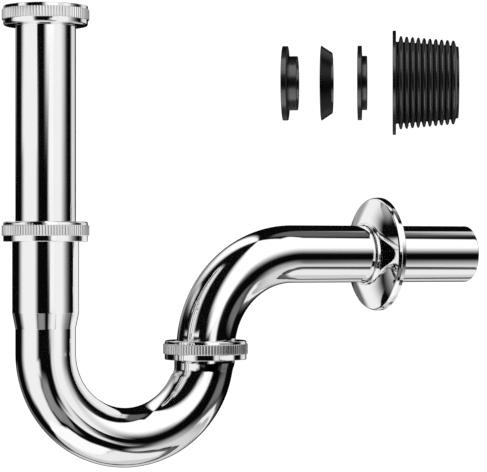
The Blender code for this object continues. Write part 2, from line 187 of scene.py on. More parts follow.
# Softboxes of the studio, seen only in reflections. Bearings run from straight ahead of the trap (0) to its
# right (90) and heights above the horizon, in degrees; soft edges give the width over which each side fades.
# name: left, right, low, high, soft left, soft right, soft low, soft high, brightness on the display
SOFTBOXES = {
    "key": (-24, 20, 13, 90, 18, 14, 12, 2, 1.0),
    "key_side": (-20, 16, 4, 90, 18, 12, 4, 2, 1.0),
    "key_foot": (-10, 14, 0, 90, 12, 10, 4, 2, 0.96),
    "key_base": (-6, 14, -2.0, 10, 7, 8, 1, 8, 0.95),
    "key_right": (10, 52, 12, 66, 10, 5, 28, 5, 1.0),
    "key_top": (-25, 36, 62, 90, 8, 8, 6, 2, 1.0),
    "under_key": (34, 58, 3, 14, 6, 16, 6, 6, 0.60),
    "left_low": (-116, -52, -62, 4.5, 26, 16, 2, 2, 0.93),
    "left_lower": (-80, -45, -17, -6, 10, 14, 6, 4, 0.92),
    "left_tall": (-100, -76, 5, 60, 6, 14, 3, 8, 0.93),
    "back": (172, 218, 28, 88, 10, 28, 34, 14, 0.99),
    "back_foot": (172, 194, 4, 18, 8, 14, 6, 6, 0.60),
    "back_left": (218, 240, 22, 37, 10, 10, 12, 6, 0.75),
    "right": (85, 127, 14, 43, 12, 12, 6, 8, 0.86),
    "right_low": (94, 127, -5, 16, 14, 12, 3, 8, 0.84),
    "right_high": (82, 116, 40, 60, 12, 8, 4, 6, 0.82),
    "right_top": (60, 118, 58, 80, 12, 12, 8, 8, 0.37),
    "low_front": (0, 15, -22, -1, 9, 9, 6, 3, 0.88),
    "low_front_foot": (-6, 20, -27, -19, 16, 12, 3, 4, 0.92),
    "low_middle": (-46, -23, -41, -15, 8, 10, 3, 10, 0.52),
    "low_middle_right": (-40, -7, -44, -27, 8, 6, 3, 4, 0.48),
    "low_right": (30, 180, -46, -28, 16, 10, 2, 24, 0.82),
    "low_right_streak": (62, 128, -30, -24, 10, 10, 3, 3, 0.92),
    "low_right_haze": (48, 80, -20, -9, 10, 10, 6, 6, 0.42),
    "low_back": (172, 200, -46, -6, 8, 8, 4, 4, 0.40),
    "floor_ring": (14, 150, -54, -48, 10, 10, 2, 2, 0.38),
    "floor_left": (-130, 14, -90, -52, 8, 8, 2, 4, 0.98),
    "floor_right": (14, 112, -90, -53, 8, 40, 2, 4, 0.91),
    "floor": (-180, 180, -90, -53, 0, 0, 2, 3, 0.79),
    "floor_nadir": (-180, 180, -90, -68, 0, 0, 2, 10, 0.91),
}

UP_AXIS = Vector((0, 0, 1))
X, Y, Z = range(3)


# ---------------------------------------------------------------- places from the frame

def centre(node):
    low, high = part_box(node)
    return (low + high) / 2


def height(node):
    low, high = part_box(node)
    return (high.z - low.z) / MM


def length(node):
    low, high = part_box(node)
    return (high.x - low.x) / MM


def radius_of(node):
    low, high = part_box(node)
    return (high.y - low.y) / 2 / MM


def upright(node):
    """Frame of a piece on an upright axis: origin under its middle, level with its lowest point."""
    low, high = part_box(node)
    return Matrix.Translation(((low.x + high.x) / 2, (low.y + high.y) / 2, low.z))


def towards_wall(node):
    """Frame of a piece on the wall tube's axis: local Z runs towards the wall, from the piece's room side."""
    low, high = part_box(node)
    origin = Vector((low.x, (low.y + high.y) / 2, (low.z + high.z) / 2))
    return Matrix.Translation(origin) @ Matrix.Rotation(math.radians(90), 4, "Y")


# ---------------------------------------------------------------- outlines: (radius, station) points

def rounded(corners, steps=4):
    """Outline through (radius, station, rounding) corners, each rounded one an arc of `steps` chords."""
    points = []
    count = len(corners)
    for index, (r, z, rounding) in enumerate(corners):
        corner = np.array((r, z))
        before = np.array(corners[index - 1][:2]) - corner
        after = np.array(corners[(index + 1) % count][:2]) - corner
        reach_before, reach_after = np.linalg.norm(before), np.linalg.norm(after)
        before, after = before / reach_before, after / reach_after
        half = math.acos(np.clip(before @ after, -1, 1)) / 2
        if rounding == 0 or half > math.radians(89):
            points.append((r, z))
            continue
        tangent = min(rounding / math.tan(half), 0.48 * reach_before, 0.48 * reach_after)
        radius = tangent * math.tan(half)
        middle = corner + (before + after) / np.linalg.norm(before + after) * radius / math.sin(half)
        start = corner + before * tangent - middle
        end = corner + after * tangent - middle
        sweep = math.pi - 2 * half
        for step in range(steps + 1):
            share = step / steps
            weights = math.sin((1 - share) * sweep), math.sin(share * sweep)
            points.append(tuple(middle + (weights[0] * start + weights[1] * end) / math.sin(sweep)))
    return points


def pairs(outline):
    return zip(outline, outline[1:] + outline[:1])


def subdivided(outline, step):
    """The closed outline with no stretch longer along its station than `step`."""
    points = []
    for (r0, z0), (r1, z1) in pairs(outline):
        pieces = max(1, math.ceil(abs(z1 - z0) / step))
        for index in range(pieces):
            share = index / pieces
            points.append((r0 + (r1 - r0) * share, z0 + (z1 - z0) * share))
    return points


# ---------------------------------------------------------------- skins

def skin(name, points, materials, inner_rows=None):
    """A closed smooth mesh over points[row, column], where rows and columns both wrap round."""
    rows, columns = points.shape[:2]
    index = np.arange(rows * columns).reshape(rows, columns)
    below, beside = np.roll(index, -1, axis=0), np.roll(index, -1, axis=1)
    faces = np.stack([index, beside, np.roll(below, -1, axis=1), below], axis=-1).reshape(-1, 4)
    flat = points.reshape(-1, 3)
    a, b, c, d = (flat[faces[:, k]] for k in range(4))
    volume = np.einsum("ij,ij->", a + b + c + d, np.cross(c - a, d - b))
    if volume < 0:
        faces = faces[:, ::-1]
    mesh = bpy.data.meshes.new(name)
    mesh.from_pydata(flat.tolist(), [], faces.tolist())
    for material in materials:
        mesh.materials.append(material)
    if inner_rows is not None:
        mesh.polygons.foreach_set("material_index", np.repeat(inner_rows.astype(np.int32), columns))
    mesh.shade_smooth()
    mesh.validate()
    return mesh


def add_object(name, mesh, place=None):
    obj = bpy.data.objects.new(name, mesh)
    bpy.context.scene.collection.objects.link(obj)
    if place is not None:
        obj.matrix_world = place
    normals = obj.modifiers.new("Face weighted normals", "WEIGHTED_NORMAL")
    normals.mode = "FACE_AREA"
    normals.weight = 90
    return obj


def stand_in(mesh, place, body, node):
    """A finished piece that rides on its body in place of a CAD node."""
    obj = add_object(node + "_finish", mesh, place)
    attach(obj, body)
    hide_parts(node)


def spun(outline, segments, shape=None):
    """Points of an outline turned round local Z. shape(radius, station, angle) may vary the radius."""
    radius, station = np.array(outline).T
    angle = np.arange(segments) * math.tau / segments
    grid_r = np.repeat(radius[:, None], segments, axis=1)
    grid_z = np.repeat(station[:, None], segments, axis=1)
    grid_a = np.repeat(angle[None, :], len(outline), axis=0)
    if shape is not None:
        grid_r = shape(grid_r, grid_z, grid_a)
    return np.stack([grid_r * np.cos(grid_a), grid_r * np.sin(grid_a), grid_z], axis=-1) * MM


def swept(outline, line, level_from=None):
    """Points of an outline of (radius, length along the line) carried along a centreline in the XZ plane.

    Rings of points stand square to the line; over LEVEL_RUN before level_from they swing level, and stay so.
    """
    radius, station = np.array(outline).T
    travelled = np.concatenate([[0], np.cumsum(np.linalg.norm(np.diff(line, axis=0), axis=1))])
    tangent = np.gradient(line, travelled, axis=0)
    tangent /= np.linalg.norm(tangent, axis=1)[:, None]
    x, z, tx, tz = (np.interp(station, travelled, column) for column in (*line.T, *tangent.T))
    if level_from is not None:
        share = np.clip((station - level_from) / LEVEL_RUN + 1, 0, 1)
        share = share * share * (3 - 2 * share)
        tx, tz = tx * (1 - share), tz * (1 - share) + share
    size = np.hypot(tx, tz)
    tx, tz = tx / size, tz / size
    angle = np.arange(TUBE_SEGMENTS) * math.tau / TUBE_SEGMENTS
    side = radius[:, None] * np.cos(angle)[None, :]
    across = radius[:, None] * np.sin(angle)[None, :]
    return np.stack([x[:, None] + side * tz[:, None], across, z[:, None] - side * tx[:, None]], axis=-1) * MM


def bend(middle, radius, start, end):
    """Points every BEND_STEP on an arc, angles in degrees."""
    steps = math.ceil(abs(math.radians(end - start)) * radius / BEND_STEP)
    angles = np.radians(np.linspace(start, end, steps + 1))
    return np.stack([middle[0] + radius * np.cos(angles), middle[1] + radius * np.sin(angles)], axis=-1)


# ---------------------------------------------------------------- materials

class Nodes:
    """A short way to write a node tree."""

    def __init__(self, tree):
        self.tree = tree

    def add(self, kind, settings=None, **inputs):
        node = self.tree.nodes.new("ShaderNode" + kind)
        for key, value in (settings or {}).items():
            setattr(node, key, value)
        for key, value in inputs.items():
            self.join(value, node.inputs[key.replace("_", " ")])
        return node

    def join(self, value, socket):
        if isinstance(value, bpy.types.NodeSocket):
            self.tree.links.new(value, socket)
        else:
            socket.default_value = value

    def math(self, operation, *values):
        node = self.add("Math", {"operation": operation})
        for value, socket in zip(values, node.inputs):
            self.join(value, socket)
        return node.outputs[0]

    def product(self, values):
        result = values[0]
        for value in values[1:]:
            result = self.math("MULTIPLY", result, value)
        return result

    def ramp(self, value, low, high):
        """low where the value is 0 and high where it is 1."""
        return self.add("MapRange", Value=value, To_Min=low, To_Max=high).outputs["Result"]

    def step(self, value, start, end):
        """0 before start, 1 after end, smooth between; start may be the larger."""
        settings = {"interpolation_type": "SMOOTHSTEP"}
        if start < end:
            node = self.add("MapRange", settings, Value=value, From_Min=start, From_Max=end)
            return node.outputs["Result"]
        ends = {"From_Min": end, "From_Max": start, "To_Min": 1.0, "To_Max": 0.0}
        return self.add("MapRange", settings, Value=value, **ends).outputs["Result"]

    def noise(self, scale, detail=3.0, roughness=0.5, stretch=(1, 1, 1)):
        place = self.add("TexCoord").outputs["Object"]
        mapping = self.add("Mapping", Vector=place, Scale=stretch)
        sizes = {"Scale": scale, "Detail": detail, "Roughness": roughness}
        return self.add("TexNoise", Vector=mapping.outputs[0], **sizes).outputs["Fac"]

    def mix(self, share, a, b):
        node = self.add("Mix", {"data_type": "RGBA"})
        self.join(share, node.inputs["Factor"])
        self.join(a, node.inputs[6])
        self.join(b, node.inputs[7])
        return node.outputs[2]

    def bump(self, height_field, strength, distance):
        node = self.add("Bump", Height=height_field, Strength=strength, Distance=distance)
        return node.outputs["Normal"]

    def show(self, share, shader, light):
        """Makes the surface a mix of a shader and an even glow, which `share` brings in."""
        mix = self.add("MixShader")
        glow = self.add("Emission", Color=grey(light))
        for value, socket in zip((share, shader, glow.outputs[0]), mix.inputs):
            self.join(value, socket)
        self.join(mix.outputs[0], self.tree.nodes["Material Output"].inputs["Surface"])


def new_material(name):
    material = bpy.data.materials.new(name)
    material.use_nodes = True
    nodes = Nodes(material.node_tree)
    return material, nodes, material.node_tree.nodes["Principled BSDF"].inputs


def grey(value):
    return (value, value, value, 1.0)


def make_chrome():
    """Polished plate: a mirror with faint polishing lines and patches that are a little duller."""
    material, nodes, shader = new_material("polished_chrome")
    patches = nodes.noise(scale=28.0, detail=4.0)
    lines = nodes.noise(scale=260.0, detail=1.0, stretch=(1, 1, 0.2))
    nodes.join(nodes.mix(patches, (0.90, 0.90, 0.905, 1), (0.94, 0.94, 0.94, 1)), shader["Base Color"])
    shader["Metallic"].default_value = 1.0
    dull = nodes.step(patches, 0.35, 0.75)
    nodes.join(nodes.ramp(dull, 0.035, 0.06), shader["Roughness"])
    nodes.join(nodes.bump(lines, 0.002, 0.00001), shader["Normal"])
    return material


def make_brass():
    """Inside of a tube: bare drawn brass, with draw lines and brown stains."""
    material, nodes, shader = new_material("drawn_brass")
    stains = nodes.step(nodes.noise(scale=60.0, detail=6.0, roughness=0.6), 0.4, 0.7)
    draw_lines = nodes.noise(scale=700.0, detail=2.0, stretch=(1, 1, 0.03))
    nodes.join(nodes.mix(stains, (0.70, 0.52, 0.25, 1), (0.42, 0.29, 0.14, 1)), shader["Base Color"])
    shader["Metallic"].default_value = 1.0
    nodes.join(nodes.ramp(stains, 0.28, 0.5), shader["Roughness"])
    nodes.join(nodes.bump(draw_lines, 0.15, 0.00004), shader["Normal"])
    return material


def make_rubber():
    """Moulded rubber: deep black with a satin skin whose sheen is taken out of its crevices as painted shade,
    faint bloom and a fine grain.
    """
    material, nodes, shader = new_material("moulded_rubber")
    bloom = nodes.noise(scale=90.0, detail=5.0, roughness=0.6)
    grain = nodes.noise(scale=400.0, detail=1.0)
    # Painted shade: ambient occlusion dims the sheen in crevices and between the adapter's ribs.
    painted_crevice_shade = nodes.math("POWER", nodes.add("AmbientOcclusion", Distance=0.002).outputs["AO"], 2.5)
    nodes.join(nodes.mix(bloom, grey(0.0003), grey(0.0015)), shader["Base Color"])
    nodes.join(nodes.math("MULTIPLY", painted_crevice_shade, 0.22), shader["Specular IOR Level"])
    nodes.join(nodes.ramp(bloom, 0.22, 0.32), shader["Roughness"])
    nodes.join(nodes.bump(grain, 0.03, 0.00003), shader["Normal"])
    return material


def make_nylon():
    """Slip rings: natural nylon, slightly see-through and unevenly milky."""
    material, nodes, shader = new_material("natural_nylon")
    cloud = nodes.noise(scale=120.0, detail=3.0)
    grain = nodes.noise(scale=1800.0, detail=2.0)
    nodes.join(nodes.mix(cloud, (0.80, 0.78, 0.70, 1), (0.88, 0.87, 0.82, 1)), shader["Base Color"])
    nodes.join(nodes.ramp(cloud, 0.32, 0.45), shader["Roughness"])
    shader["Subsurface Weight"].default_value = 0.3
    shader["Subsurface Scale"].default_value = 0.002
    nodes.join(nodes.bump(grain, 0.08, 0.00004), shader["Normal"])
    return material


# ---------------------------------------------------------------- nuts, rings and threads

def thread_height(station, angle, half_width):
    """1 on a right-hand thread's middle line, falling straight to 0 at half_width from it along the axis."""
    away = np.abs((station - angle / math.tau * PITCH + PITCH / 2) % PITCH - PITCH / 2)
    return np.clip(1 - away / half_width, 0, 1)


def nut_shape(radius, station, angle):
    """Presses the knurl into the raised band, and cuts the thread into the bore."""
    raised = np.clip((radius - NUT_R) / (KNURL_R - NUT_R), 0, 1)
    rib = np.abs(np.sin(angle * KNURL_RIBS / 2)) ** KNURL_SHARPNESS
    groove = GROOVE_R - NUT_BORE_R
    turn = thread_height(station, angle, groove * FLANK_SLOPE)
    threaded = (radius > NUT_BORE_R - HAIR) & (radius < NUT_MOUTH_R - RUN_OUT)
    pressed = radius - KNURL_DEPTH * raised * (1 - rib)
    return np.where(threaded, np.maximum(radius, NUT_BORE_R + groove * turn), pressed)


def nut_mesh(name, nut_height, hole_r, opens_up):
    top, bottom = NUT_EDGES if opens_up else NUT_EDGES[::-1]
    outside = [
        (NUT_R, nut_height, top),
        (NUT_R, KNURL_HIGH, 0.15),
        (KNURL_R, KNURL_HIGH, 0.35),
        (KNURL_R, KNURL_LOW, 0.35),
        (NUT_R, KNURL_LOW, 0.15),
        (NUT_R, 0, bottom),
    ]
    inside = [
        (NUT_MOUTH_R, 0, 0.1),
        (NUT_BORE_R, NUT_MOUTH_R - NUT_BORE_R, 0),
        (NUT_BORE_R, nut_height - NUT_FLOOR, 0),
        (hole_r, nut_height - NUT_FLOOR, 0.15),
        (hole_r, nut_height, 0.3),
    ]
    if opens_up:
        inside = [(r, nut_height - z, rounding) for r, z, rounding in reversed(inside)]
    outline = []
    for (r0, z0), (r1, z1) in pairs(rounded(outside + inside)):
        steps = 1
        if min(r0, r1) >= NUT_BORE_R and max(r0, r1) < NUT_MOUTH_R:
            steps = round(abs(z1 - z0) / THREAD_STEP)
        outline += [(r0 + (r1 - r0) * k / steps, z0 + (z1 - z0) * k / steps) for k in range(steps)]
    return skin(name, spun(outline, NUT_SEGMENTS, nut_shape), [CHROME])


def thread_ring_mesh(name, ring_height, low, bore):
    """A threaded bush. Stations run from its lower end, which is `low` above its nut's lowest point."""
    bevel = THREAD_CREST_R - THREAD_ROOT_R

    def shape(radius, station, angle):
        outside = radius >= THREAD_ROOT_R - HAIR
        turn = thread_height(station + low, angle, bevel * FLANK_SLOPE)
        from_end = np.minimum(station, ring_height - station)
        crest = np.minimum(THREAD_ROOT_R + bevel * turn, THREAD_CREST_R - THREAD_RELIEF + from_end)
        return np.where(outside, np.maximum(crest, THREAD_ROOT_R), radius)

    steps = round(ring_height / THREAD_STEP)
    outside = [(THREAD_ROOT_R, ring_height * k / steps) for k in range(steps + 1)]
    return skin(name, spun(outside + bore[::-1], 2 * SEAL_SEGMENTS, shape), [CHROME])


# ---------------------------------------------------------------- tubes

def tube_skin(name, outline, line, level_from=None):
    """A chromed tube whose inside is bare brass."""
    points = swept(outline, line, level_from)
    radius = np.array([r for r, _ in outline])
    inner = radius < TUBE_R - WALL / 2
    return skin(name, points, [CHROME, BRASS], inner)


def line_length(line):
    return np.linalg.norm(np.diff(line, axis=0), axis=1).sum()


def main_axes():
    inlet = centre("inlet_tube")
    joint = centre("outlet_thread_ring")
    wall = centre("wall_rosette")
    return inlet, joint, wall


def build_inlet():
    tall = height("inlet_tube")
    lip_r = radius_of("inlet_tube")
    outline = rounded([
        (TUBE_R - WALL, 0, 0.3),
        (TUBE_R - WALL, tall - THROAT, 0.8),
        (TUBE_R - WALL + THROAT, tall, 0.25),
        (lip_r, tall, 0.35),
        (lip_r, tall - LIP_T, 0.35),
        (TUBE_R, tall - LIP_T, 0.4),
        (TUBE_R, 0, 0.4),
    ])
    radius = np.array([r for r, _ in outline])
    station = np.array([z for _, z in outline])
    inner = (radius < TUBE_R - WALL / 2) & (station < tall - THROAT)
    mesh = skin("inlet_tube_finish", spun(outline, TUBE_SEGMENTS), [CHROME, BRASS], inner)
    stand_in(mesh, upright("inlet_tube"), "inlet", "inlet_tube")


def ring_mesh(node):
    bore, outer, thick = RING_BORES[node], radius_of(node), height(node)
    corners = [(bore, 0), (bore, thick), (outer, thick), (outer, 0)]
    outline = rounded([(*corner, RING_EDGE) for corner in corners])
    return skin(node + "_finish", spun(outline, SEAL_SEGMENTS), [NYLON])


def build_slip_rings():
    for node in RING_BORES:
        body = node.replace("_slip", "")
        stand_in(ring_mesh(node), upright(node), body, node)


def build_nuts():
    for node, hole_r in NUT_HOLES.items():
        mesh = nut_mesh(node + "_finish", height(node), hole_r, node == "top_nut")
        stand_in(mesh, upright(node), node, node)


def build_thread_rings():
    """The bushes, each threaded in step with the nut that runs on it."""
    tall = height("socket_thread_ring")
    socket_bore = [
        (SOCKET_BUSH_BORE_R, 0),
        (SOCKET_BUSH_BORE_R, SEAT_Z),
        (SEAT_R, SEAT_Z),
        (SEAT_R + SEAT_SLOPE * (tall - SEAT_Z), tall),
    ]
    outlet_bore = [(OUTLET_BUSH_BORE_R, 0), (OUTLET_BUSH_BORE_R, height("outlet_thread_ring"))]
    bushes = {
        "socket_thread_ring": ("middle_nut", socket_bore),
        "outlet_thread_ring": ("lower_nut", outlet_bore),
    }
    for node, (nut, bore) in bushes.items():
        low = (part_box(node)[0].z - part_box(nut)[0].z) / MM
        mesh = thread_ring_mesh(node + "_finish", height(node), low, bore)
        stand_in(mesh, upright(node), "trap", node)


def build_u_bend():
    inlet, joint, _ = main_axes()
    x0, x1 = inlet.x / MM, joint.x / MM
    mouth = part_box("u_bend")[1].z / MM
    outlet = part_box("outlet_thread_ring")[1].z / MM
    bend_z = U_BEND_R + TUBE_R
    lean = math.degrees(math.asin((bend_z - outlet + SKIRT_LENGTH) / U_BEND_R))
    arc = bend((x0 + U_BEND_R, bend_z), U_BEND_R, 180, 360 - lean)
    line = np.concatenate([[(x0, mouth)], arc, [(x1, outlet)]])
    total = line_length(line)
    skirt = total - SKIRT_LENGTH
    outer = [
        (SOCKET_R, 0, 0.4),
        (SOCKET_R, SOCKET_DEPTH, 1.0),
        (TUBE_R, SOCKET_DEPTH + TAPER, 1.0),
        (TUBE_R, skirt + SKIRT_STEP[0], 9.0),
        (SKIRT_R, skirt + SKIRT_STEP[1], 5.0),
        (SKIRT_R, total, 0.4),
    ]
    inner = [(r - WALL, s, rounding) for r, s, rounding in reversed(outer)]
    outline = subdivided(rounded(outer + inner), BEND_STEP)
    mesh = tube_skin("u_bend_finish", outline, line, skirt)
    stand_in(mesh, None, "trap", "u_bend")


def build_outlet_bend():
    _, joint, wall = main_axes()
    low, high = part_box("outlet_bend")
    x0, z0 = joint.x / MM, wall.z / MM
    lip_r = radius_of("outlet_bend")
    foot, end = low.z / MM, high.x / MM
    bend_z = z0 - OUTLET_BEND_R
    lean = math.degrees(math.asin((foot + STUB - bend_z) / OUTLET_BEND_R))
    arc = bend((x0 + OUTLET_BEND_R, bend_z), OUTLET_BEND_R, 180 - lean, 90)
    line = np.concatenate([[(x0, foot)], arc, [(end, z0)]])
    total = line_length(line)
    outline = subdivided(rounded([
        (lip_r, 0, 0.35),
        (lip_r, LIP_T, 0.35),
        (TUBE_R, LIP_T, 0.4),
        (TUBE_R, total, 0.5),
        (TUBE_R - WALL, total, 0.3),
        (TUBE_R - WALL, 0, 0.3),
    ]), BEND_STEP)
    mesh = tube_skin("outlet_bend_finish", outline, line)
    stand_in(mesh, None, "outlet", "outlet_bend")


# ---------------------------------------------------------------- rosette, seals and adapter

def build_rosette():
    rim_r, depth = radius_of("wall_rosette"), length("wall_rosette")
    share = np.linspace(0, 1, DISH_STEPS + 1)
    dish_r = ROSETTE_NECK_R + (ROSETTE_CREASE_R - ROSETTE_NECK_R) * share
    dish_z = ROSETTE_FOOT + (ROSETTE_CREASE - ROSETTE_FOOT) * share ** DISH_CURVE
    front = [(r, z, 0) for r, z in zip(dish_r, dish_z)]
    back = [(r - ROSETTE_SHEET / 4, z + ROSETTE_SHEET, 0) for r, z in zip(dish_r[:0:-1], dish_z[:0:-1])]
    outline = rounded([
        (ROSETTE_BORE_R, 0, 0.4),
        (ROSETTE_NECK_R, 0, 0.5),
        (*front[0][:2], 0.6),
        *front[1:-1],
        (*front[-1][:2], 0.25),
        (rim_r - 0.25 * ROSETTE_ROLL, ROSETTE_CREASE + 0.3 * ROSETTE_ROLL, 1.2),
        (rim_r, ROSETTE_CREASE + 0.95 * ROSETTE_ROLL, 1.2),
        (rim_r, depth, 0.3),
        (rim_r - ROSETTE_SHEET, depth, 0.3),
        (rim_r - ROSETTE_SHEET, ROSETTE_CREASE + ROSETTE_ROLL, 0.8),
        *back[:-1],
        (*back[-1][:2], 0.3),
        (ROSETTE_BORE_R, ROSETTE_FOOT + ROSETTE_SHEET, 0.2),
    ], 5)
    mesh = skin("wall_rosette_finish", spun(outline, SEAL_SEGMENTS), [CHROME])
    stand_in(mesh, towards_wall("wall_rosette"), "rosette", "wall_rosette")


def seal_mesh(name, tall, flange_r, flange_t, bore, step=0):
    """A flanged seal: flange on top, collar below, and between them a chamfered step where the lip sits."""
    under = tall - flange_t
    shoulder = [
        (SEAL_SHOULDER_R, under, 0.1),
        (SEAL_SHOULDER_R - step, under - step, 0.1),
        (SEAL_COLLAR_R, under - step, 0.2),
    ]
    outline = rounded([
        (bore, tall, 0.3),
        (flange_r, tall, 0.3),
        (flange_r, under, 0.3),
        *(shoulder if step else [(SEAL_COLLAR_R, under, 0.3)]),
        (SEAL_COLLAR_R, 0, 0.35),
        (bore, 0, 0.35),
    ])
    return skin(name, spun(outline, SEAL_SEGMENTS), [RUBBER])


def cone_mesh(name, tall, big_r, small_r, bore):
    outline = rounded([
        (bore, tall, 0.15),
        (big_r, tall, 0.25),
        (small_r, 0, 0.12),
        (bore, 0, 0.12),
    ])
    return skin(name, spun(outline, SEAL_SEGMENTS), [RUBBER])


def adapter_mesh(name):
    flange_r = radius_of("wall_adapter")
    long = length("wall_adapter")
    corners = [
        (flange_r, 0, 0.3),
        (flange_r, ADAPTER_FLANGE_T, 0.4),
        (RIB_ROOT_R[0] + 0.1, ADAPTER_FLANGE_T, 0.5),
    ]
    for rib in range(ADAPTER_RIBS):
        share = rib / (ADAPTER_RIBS - 1)
        root = RIB_ROOT_R[0] + (RIB_ROOT_R[1] - RIB_ROOT_R[0]) * share
        tip = RIB_TIP_R[0] + (RIB_TIP_R[1] - RIB_TIP_R[0]) * share
        flank = root + FLANK_SHARE * (tip - root)
        station = FIRST_RIB + rib * RIB_PITCH
        valley = station - RIB_PITCH / 2
        corners += [
            (root, valley - ROOT_HALF, 0.4),
            (root, valley + ROOT_HALF, 0.4),
            (flank, station - RIB_FLANK_HALF, 0.6),
            (tip, station - RIB_TIP_HALF, 0.45),
            (tip, station + RIB_TIP_HALF, 0.45),
            (flank, station + RIB_FLANK_HALF, 0.6),
        ]
    corners += [
        (ADAPTER_END_R, FIRST_RIB + (ADAPTER_RIBS - 0.5) * RIB_PITCH, 0.5),
        (ADAPTER_END_R, long, 0.5),
        (ADAPTER_BORE_R, long, 0.3),
        (ADAPTER_BORE_R, ADAPTER_LIP[1], 0.5),
        (ADAPTER_LIP_R, ADAPTER_LIP[0], 0.3),
        (ADAPTER_LIP_R, 0, 0.3),
    ]
    return skin(name, spun(rounded(corners, 5), SEAL_SEGMENTS), [RUBBER])


def build_rubber():
    top, cone, lower = ((height(node), radius_of(node)) for node in ("top_seal", "cone_seal", "lower_seal"))
    meshes = {
        "top_seal": seal_mesh("top_seal_finish", *top, TOP_FLANGE_T, TOP_SEAL_BORE, SEAT_CHAMFER),
        "cone_seal": cone_mesh("cone_seal_finish", *cone, CONE_SMALL_R, CONE_BORE_R),
        "lower_seal": seal_mesh("lower_seal_finish", *lower, LOWER_FLANGE_T, LOWER_SEAL_BORE),
        "wall_adapter": adapter_mesh("wall_adapter_finish"),
    }
    homes = {
        "top_seal": (upright, "inlet"),
        "cone_seal": (upright, "cone_seal"),
        "lower_seal": (upright, "trap"),
        "wall_adapter": (towards_wall, "adapter"),
    }
    for node, (place, body) in homes.items():
        stand_in(meshes[node], place(node), body, node)


def loose_meshes():
    """The rubber parts in their free shape, before fitting: fuller than when they sit in the trap."""
    top, cone, lower = (height(node) for node in ("top_seal", "cone_seal", "lower_seal"))
    return {
        "top_seal": seal_mesh("loose_top_seal", top, FREE_FLANGE_R, FREE_TOP_FLANGE_T, TOP_SEAL_BORE),
        "cone_seal": cone_mesh("loose_cone_seal", cone, FREE_CONE_BIG_R, FREE_CONE_SMALL_R, FREE_CONE_BORE_R),
        "lower_seal": seal_mesh("loose_lower_seal", lower, FREE_FLANGE_R, LOWER_FLANGE_T, LOWER_SEAL_BORE),
        "wall_adapter": adapter_mesh("loose_wall_adapter"),
    }


# ---------------------------------------------------------------- stage: loose set, floor, light, camera

def view_directions():
    """The inlet axis at the wall tube's height, and the level directions ahead of and right of the camera."""
    ahead = Vector((math.sin(VIEW_TURN), math.cos(VIEW_TURN), 0))
    right = Vector((math.cos(VIEW_TURN), -math.sin(VIEW_TURN), 0))
    inlet, _, wall = main_axes()
    return Vector((inlet.x, 0, wall.z)), ahead, right


def lay_out_row(meshes):
    """The loose rubber set: each axis level, flange or big end to the left."""
    pieces = []
    anchor, _, right = view_directions()
    start = anchor + right * ROW_REACH * MM + UP_AXIS * ROW_RISE * MM
    along = Matrix.Rotation(-ROW_TURN, 4, "Z") @ Vector((1, 0, 0))
    for node, mesh in meshes.items():
        place = Matrix.Translation(start - along * ROW_BACK[node] * MM)
        place = place @ Matrix.Rotation(-ROW_TURN + math.radians(ROW_LEAN[node]), 4, "Z")
        place = place @ Matrix.Rotation(math.radians(90), 4, "Y")
        if node != "wall_adapter":
            tall = height(node) * MM
            place = place @ Matrix.Translation((0, 0, tall)) @ Matrix.Rotation(math.pi, 4, "X")
        loose = add_object("loose_" + node, mesh, place)
        loose.visible_glossy = False
        pieces.append(loose)
    return pieces


def build_floor():
    """A plain white floor whose shade fades to the backdrop's white away from the trap."""
    floor = bpy.data.meshes.new("floor")
    corners = [(x * FLOOR_HALF, y * FLOOR_HALF, 0) for x, y in ((-1, -1), (1, -1), (1, 1), (-1, 1))]
    floor.from_pydata(corners, [], [(0, 1, 2, 3)])
    obj = bpy.data.objects.new("floor", floor)
    bpy.context.scene.collection.objects.link(obj)
    obj.location.z = -FLOOR_DROP
    obj.visible_glossy = False
    obj.visible_diffuse = False
    material, nodes, shader = new_material("pale_floor")
    shader["Base Color"].default_value = grey(FLOOR_GREY)
    shader["Roughness"].default_value = 1.0
    shader["Specular IOR Level"].default_value = 0.0
    away = nodes.add("VectorMath", {"operation": "LENGTH"})
    nodes.join(nodes.add("TexCoord").outputs["Object"], away.inputs[0])
    fade = nodes.step(away.outputs["Value"], *FLOOR_FADE)
    glow = nodes.ramp(fade, FLOOR_GLOW, 1.0)
    nodes.show(glow, material.node_tree.nodes["Principled BSDF"].outputs[0], WHITE)
    floor.materials.append(material)


def build_camera():
    anchor, ahead, right = view_directions()
    data = bpy.data.cameras.new("camera")
    data.lens = LENS
    data.sensor_width = 36.0
    data.shift_y = RISE_SHIFT
    data.clip_end = 50.0
    camera = bpy.data.objects.new("camera", data)
    bpy.context.scene.collection.objects.link(camera)
    camera.location = anchor + right * VIEW_OFFSET * MM - ahead * VIEW_DISTANCE * MM
    camera.rotation_euler = (math.radians(90), 0, -VIEW_TURN)
    bpy.context.scene.camera = camera


def softbox_mask(nodes, bearing, rise, softbox):
    """1 inside a softbox, 0 outside. One that reaches the top has no upper edge, and a full ring no sides."""
    left, right, low, high, soft_left, soft_right, soft_low, soft_high, _ = softbox
    edges = [nodes.step(rise, low - soft_low / 2, low + soft_low / 2)]
    if high < 90:
        edges.append(nodes.step(rise, high + soft_high / 2, high - soft_high / 2))
    if right - left < 360:
        half = (right - left) / 2
        away = nodes.math("WRAP", nodes.math("SUBTRACT", bearing, (left + right) / 2), 180.0, -180.0)
        edges.append(nodes.step(away, -half - soft_left / 2, -half + soft_left / 2))
        edges.append(nodes.step(away, half + soft_right / 2, half - soft_right / 2))
    return nodes.product(edges)


